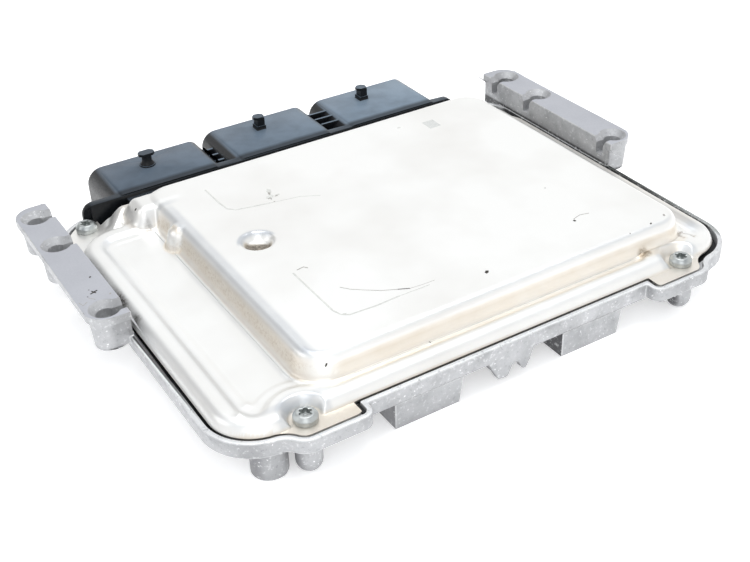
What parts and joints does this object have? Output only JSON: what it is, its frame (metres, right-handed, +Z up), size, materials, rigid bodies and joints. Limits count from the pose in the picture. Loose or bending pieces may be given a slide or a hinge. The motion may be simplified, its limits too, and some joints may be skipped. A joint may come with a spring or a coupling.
{
  "type": "engine control unit",
  "caption": "Flat engine control unit: finned die-cast tray with side mounting rails, stepped sheet-metal cover held by screws, and a black connector header with shrouded bays.",
  "frame": {"origin": "on the resting plane, at the middle of the outline seen from above", "axes": "+X along the connector row and the longest side, +Y out of the connector bays, +Z up through the cover"},
  "size_m": [0.1988, 0.1606, 0.0252],
  "materials": {
    "cast_aluminium": "die-cast, blasted, matt",
    "pressed_sheet": "pressed sheet, bright satin",
    "moulded_plastic": "injection-moulded, glass-filled, satin",
    "contact_metal": "stamped, plated",
    "sealant": "cured bead, matt",
    "screw_steel": "cold-headed, zinc-plated",
    "board_laminate": "glass-epoxy laminate with solder mask",
    "thermal_pad": "silicone pad, matt",
    "chip_plastic": "moulded epoxy, matt",
    "capacitor_sleeve": "shrunk sleeve on a drawn can",
    "ferrite": "pressed and sintered, matt",
    "crystal_can": "drawn can, satin",
    "chip_ceramic": "fired ceramic, satin"
  },
  "bodies": {
    "root": {"tray": "cast_aluminium", "cover": "pressed_sheet", "connector_header": "moulded_plastic", "left_bay_pins": "contact_metal", "middle_bay_pins": "contact_metal", "right_bay_pins": "contact_metal", "cover_seal": "sealant", "header_seal": "sealant", "cover_screws": "screw_steel", "circuit_board": "board_laminate", "board_screws": "screw_steel", "thermal_pads": "thermal_pad", "microcontroller": "chip_plastic", "flash_memory": "chip_plastic", "driver_chips": "chip_plastic", "voltage_regulator": "chip_plastic", "power_transistors": "chip_plastic", "electrolytic_capacitors": "capacitor_sleeve", "boost_inductors": "ferrite", "crystal": "crystal_can", "current_shunts": "chip_ceramic", "chip_capacitors": "chip_ceramic"}
  },
  "joints": []
}
